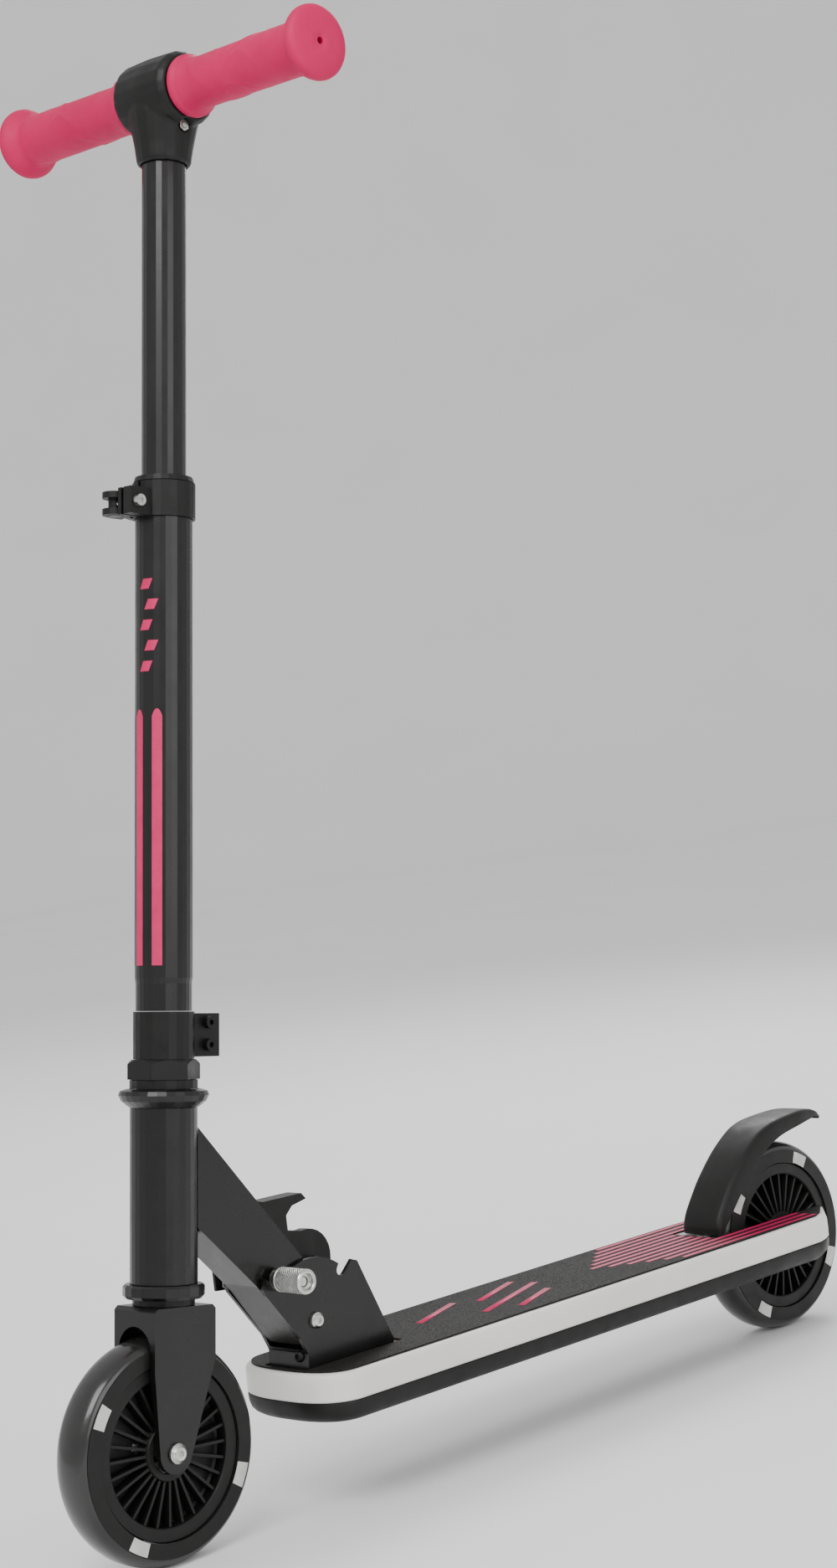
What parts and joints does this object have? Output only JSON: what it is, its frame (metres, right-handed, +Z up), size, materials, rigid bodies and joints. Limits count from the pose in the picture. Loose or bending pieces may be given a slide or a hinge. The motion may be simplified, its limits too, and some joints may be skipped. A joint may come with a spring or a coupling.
{
  "type": "kick scooter",
  "caption": "Child's folding kick scooter with a height-adjustable T handlebar, a raked steering column, a narrow deck with a milky side band and a rear fender brake.",
  "frame": {"origin": "on the ground, midway between the two axles", "axes": "+X forward, +Y to the rider's left, +Z up"},
  "size_m": [0.638, 0.2516, 0.7941],
  "materials": {
    "black_paint": "gloss",
    "black_steel": "satin",
    "bare_steel": "satin",
    "black_plastic": "satin",
    "milky_plastic": "satin",
    "pink_rubber": "matt",
    "smoky_tyre": "gloss",
    "grip_tape": "gritty",
    "deck_wood": "matt"
  },
  "bodies": {
    "deck": {"deck_base": "black_plastic", "side_band": "milky_plastic", "deck_core": "deck_wood", "grip_tape": "grip_tape", "fold_bracket": "black_paint", "pivot_bolt": "bare_steel", "pivot_nut": "bare_steel", "rear_axle_bolt": "bare_steel", "rear_axle_nut": "bare_steel", "rear_spacer_left": "bare_steel", "rear_spacer_right": "bare_steel", "fender_pin": "bare_steel", "fender_spring": "bare_steel"},
    "frame": {"down_tube": "black_paint", "head_tube": "black_paint", "pivot_bush": "bare_steel", "lower_cup": "black_paint", "upper_cup": "black_paint", "lower_bearing": "bare_steel", "upper_bearing": "bare_steel"},
    "slide_block": {"slide_washer_left": "bare_steel", "slide_washer_right": "bare_steel"},
    "lock_rod": {"lock_rod": "bare_steel", "knurled_nut": "bare_steel"},
    "fold_lever": {"fold_lever": "black_plastic"},
    "steering": {"fork": "black_paint", "crown_race": "black_steel", "bearing_cone": "black_steel", "lock_nut": "black_steel", "stem_clamp": "black_steel", "stem_bolt_1": "black_steel", "stem_bolt_2": "black_steel", "lower_tube": "black_paint", "tube_bush": "black_plastic", "height_clamp": "black_plastic", "height_bolt": "bare_steel", "cam_barrel": "black_steel", "front_axle_bolt": "bare_steel", "front_axle_nut": "bare_steel", "front_spacer_left": "bare_steel", "front_spacer_right": "bare_steel"},
    "height_lever": {"height_lever": "black_plastic"},
    "handlebar": {"upper_tube": "black_paint", "tee_head": "black_plastic", "tee_bolt": "bare_steel", "tee_nut": "bare_steel", "crossbar": "bare_steel", "grip_left": "pink_rubber", "grip_right": "pink_rubber"},
    "front_wheel": {"front_wheel_tyre": "smoky_tyre", "front_wheel_core": "black_plastic", "front_wheel_bearing_left": "bare_steel", "front_wheel_bearing_right": "bare_steel", "front_wheel_bearing_spacer": "bare_steel"},
    "rear_wheel": {"rear_wheel_tyre": "smoky_tyre", "rear_wheel_core": "black_plastic", "rear_wheel_bearing_left": "bare_steel", "rear_wheel_bearing_right": "bare_steel", "rear_wheel_bearing_spacer": "bare_steel"},
    "fender": {"rear_fender": "black_plastic"}
  },
  "joints": [
    {"name": "fold", "type": "hinge", "parent": "deck", "child": "frame", "pos_m": [0.1524, 0, 0.1042], "axis": [0, -1, 0], "range_deg": [0, 85]},
    {"name": "rod_slide", "type": "slide", "parent": "frame", "child": "slide_block", "axis": [0.6455, 0, 0.7638], "range_m": [-0.005, 0]},
    {"name": "rod_turn", "type": "hinge", "parent": "slide_block", "child": "lock_rod", "pos_m": [0.17622, 0, 0.13238], "axis": [0, -1, 0], "range_deg": [-85, 0]},
    {"name": "fold_lever_open", "type": "hinge", "parent": "lock_rod", "child": "fold_lever", "pos_m": [0.17622, -0.024, 0.13238], "axis": [0, 0, 1], "range_deg": [0, 75]},
    {"name": "steer", "type": "hinge", "parent": "frame", "child": "steering", "pos_m": [0.25391, 0, 0.0592], "axis": [-0.1557, 0, 0.9878], "continuous": true},
    {"name": "bar_height", "type": "slide", "parent": "steering", "child": "handlebar", "axis": [-0.1557, 0, 0.9878], "range_m": [-0.15, 0]},
    {"name": "height_lever_open", "type": "hinge", "parent": "steering", "child": "height_lever", "pos_m": [0.20038, -0.011, 0.55491], "axis": [-0.1557, 0, 0.9878], "range_deg": [0, 110]},
    {"name": "front_wheel_spin", "type": "hinge", "parent": "steering", "child": "front_wheel", "pos_m": [0.259, 0, 0.06], "axis": [0, 1, 0], "continuous": true},
    {"name": "rear_wheel_spin", "type": "hinge", "parent": "deck", "child": "rear_wheel", "pos_m": [-0.259, 0, 0.06], "axis": [0, 1, 0], "continuous": true},
    {"name": "brake_press", "type": "hinge", "parent": "deck", "child": "fender", "pos_m": [-0.19273, 0, 0.06993], "axis": [0, -1, 0], "range_deg": [0, 3], "stiffness_Nm_per_rad": 2, "springref_deg": -8.59}
  ],
  "couplings": [
    {"joint": "rod_turn", "follows": "fold", "ratio": -1}
  ]
}
